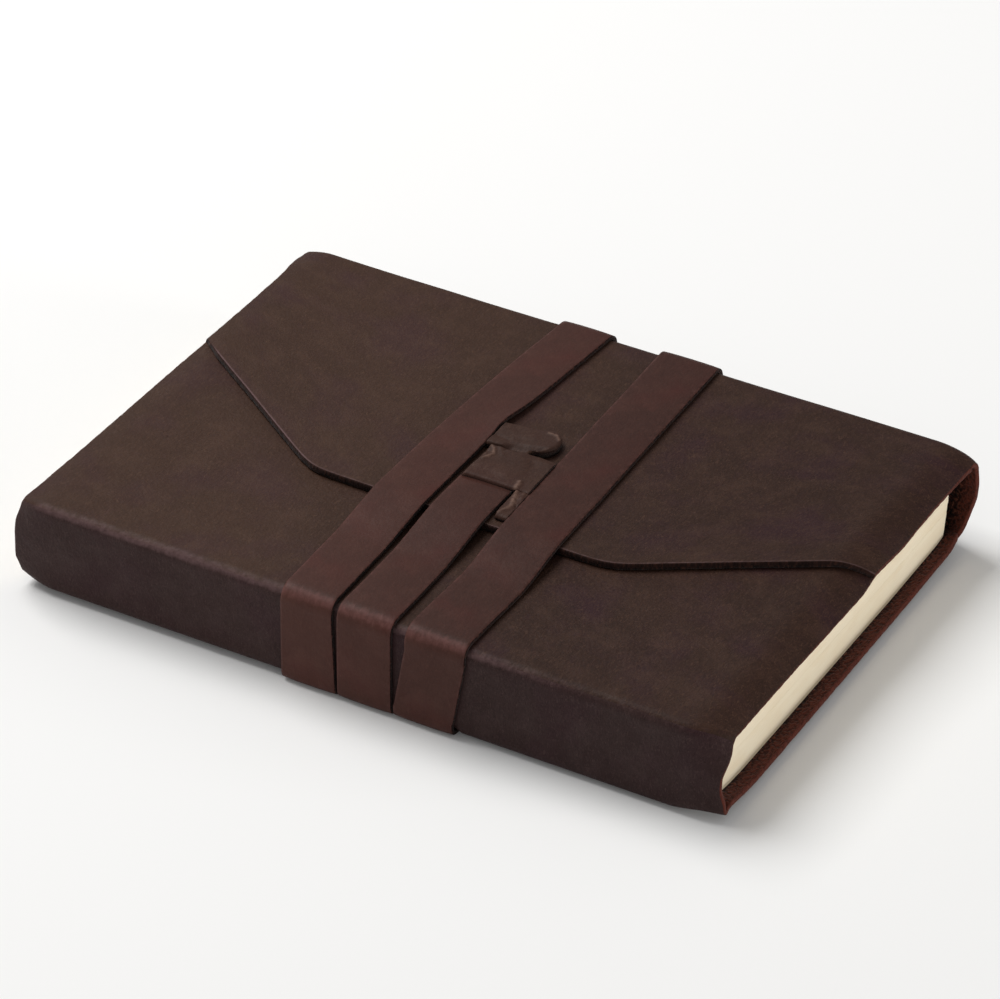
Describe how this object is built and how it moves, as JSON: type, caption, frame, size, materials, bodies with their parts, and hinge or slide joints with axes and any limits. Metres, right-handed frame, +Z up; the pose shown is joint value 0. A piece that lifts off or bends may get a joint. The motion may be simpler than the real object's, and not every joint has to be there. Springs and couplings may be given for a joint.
{
  "type": "leather notebook",
  "caption": "Closed leather wrap journal: one folded hide round a sewn page block, its tapered flap held by a wound strap with a knot.",
  "frame": {"origin": "centre of the closed book's box, on the surface that it lies on", "axes": "+X along the spine towards the open end that shows the pages, +Y from the spine to the fore-edge, +Z up"},
  "size_m": [0.218, 0.1574, 0.0351],
  "materials": {
    "cover_leather": "matt oiled leather with fine grain, dark brown",
    "spine_leather": "matt oiled leather, darker at the spine",
    "strap_leather": "smooth reddish brown strap leather",
    "knot_leather": "strap leather, creased and rubbed lighter",
    "page_paper": "uncoated cream paper",
    "endpaper": "heavier uncoated endpaper",
    "sewing_thread": "waxed linen thread",
    "mull_cloth": "open cotton mull, glued"
  },
  "bodies": {
    "book": {"back_cover": "cover_leather", "spine_panel": "spine_leather", "spine_lining": "mull_cloth", "back_pastedown": "endpaper", "back_flyleaf": "endpaper", "signature_01": "page_paper", "signature_02": "page_paper", "signature_03": "page_paper", "signature_04": "page_paper", "signature_05": "page_paper", "signature_06": "page_paper", "signature_07": "page_paper", "signature_08": "page_paper", "signature_09": "page_paper", "signature_10": "page_paper", "sewing_thread_1": "sewing_thread", "sewing_thread_2": "sewing_thread", "sewing_thread_3": "sewing_thread", "sewing_thread_4": "sewing_thread", "sewing_thread_5": "sewing_thread", "strap_back_inner": "strap_leather", "strap_back_outer": "strap_leather", "strap_tail": "strap_leather"},
    "fold": {"spine_fold": "spine_leather"},
    "cover": {"front_cover": "cover_leather", "front_pastedown": "endpaper"},
    "leaves_low": {"loose_leaves_1": "page_paper"},
    "leaves_middle": {"loose_leaves_2": "page_paper"},
    "leaves_high": {"loose_leaves_3": "page_paper"},
    "flyleaf": {"front_flyleaf": "endpaper"},
    "wall": {"fore_edge_wall": "cover_leather", "strap_wall_right": "strap_leather", "strap_wall_left": "strap_leather"},
    "flap": {"closing_flap": "cover_leather", "strap_front_middle": "strap_leather", "strap_front_right": "strap_leather", "strap_front_left": "strap_leather", "knot_band": "knot_leather", "knot_tab": "knot_leather", "knot_twist": "knot_leather"},
    "strap_ends": {"strap_spine_middle": "strap_leather", "strap_spine_right": "strap_leather", "strap_spine_left": "strap_leather"}
  },
  "joints": [
    {"name": "spine_fold_hinge", "type": "hinge", "parent": "book", "child": "fold", "pos_m": [0, -0.07715, 0.02605], "axis": [1, 0, 0], "range_deg": [0, 95.5]},
    {"name": "front_cover_hinge", "type": "hinge", "parent": "fold", "child": "cover", "pos_m": [0, -0.07335, 0.02955], "axis": [1, 0, 0], "range_deg": [0, 95.5]},
    {"name": "fore_edge_hinge", "type": "hinge", "parent": "book", "child": "wall", "pos_m": [0, 0.07885, 0.00705], "axis": [-1, 0, 0], "range_deg": [0, 89]},
    {"name": "flap_hinge", "type": "hinge", "parent": "wall", "child": "flap", "pos_m": [0, 0.07885, 0.02805], "axis": [-1, 0, 0], "range_deg": [0, 90], "deforming": ["closing_flap", "strap_front_middle", "strap_front_right", "strap_front_left", "knot_band", "knot_tab", "knot_twist"]},
    {"name": "strap_unfold", "type": "hinge", "parent": "flap", "child": "strap_ends", "pos_m": [0, -0.07885, 0.02575], "axis": [-1, 0, 0], "range_deg": [0, 90], "deforming": ["strap_spine_middle", "strap_spine_right", "strap_spine_left"]},
    {"name": "flyleaf_turn", "type": "hinge", "parent": "book", "child": "flyleaf", "pos_m": [0, -0.0727, 0.02658], "axis": [1, 0, 0], "range_deg": [0, 110]},
    {"name": "leaves_high_turn", "type": "hinge", "parent": "book", "child": "leaves_high", "pos_m": [0, -0.0727, 0.0258], "axis": [1, 0, 0], "range_deg": [0, 82]},
    {"name": "leaves_middle_turn", "type": "hinge", "parent": "book", "child": "leaves_middle", "pos_m": [0, -0.0727, 0.0249], "axis": [1, 0, 0], "range_deg": [0, 55]},
    {"name": "leaves_low_turn", "type": "hinge", "parent": "book", "child": "leaves_low", "pos_m": [0, -0.0727, 0.024], "axis": [1, 0, 0], "range_deg": [0, 27]}
  ],
  "couplings": [
    {"joint": "front_cover_hinge", "follows": "spine_fold_hinge", "ratio": 1},
    {"joint": "fore_edge_hinge", "follows": "spine_fold_hinge", "ratio": 0.93193},
    {"joint": "flap_hinge", "follows": "spine_fold_hinge", "ratio": 0.9424},
    {"joint": "strap_unfold", "follows": "spine_fold_hinge", "ratio": 0.9424},
    {"joint": "flyleaf_turn", "follows": "spine_fold_hinge", "ratio": 1.1518},
    {"joint": "leaves_high_turn", "follows": "spine_fold_hinge", "ratio": 0.85863},
    {"joint": "leaves_middle_turn", "follows": "spine_fold_hinge", "ratio": 0.57591},
    {"joint": "leaves_low_turn", "follows": "spine_fold_hinge", "ratio": 0.28272}
  ]
}
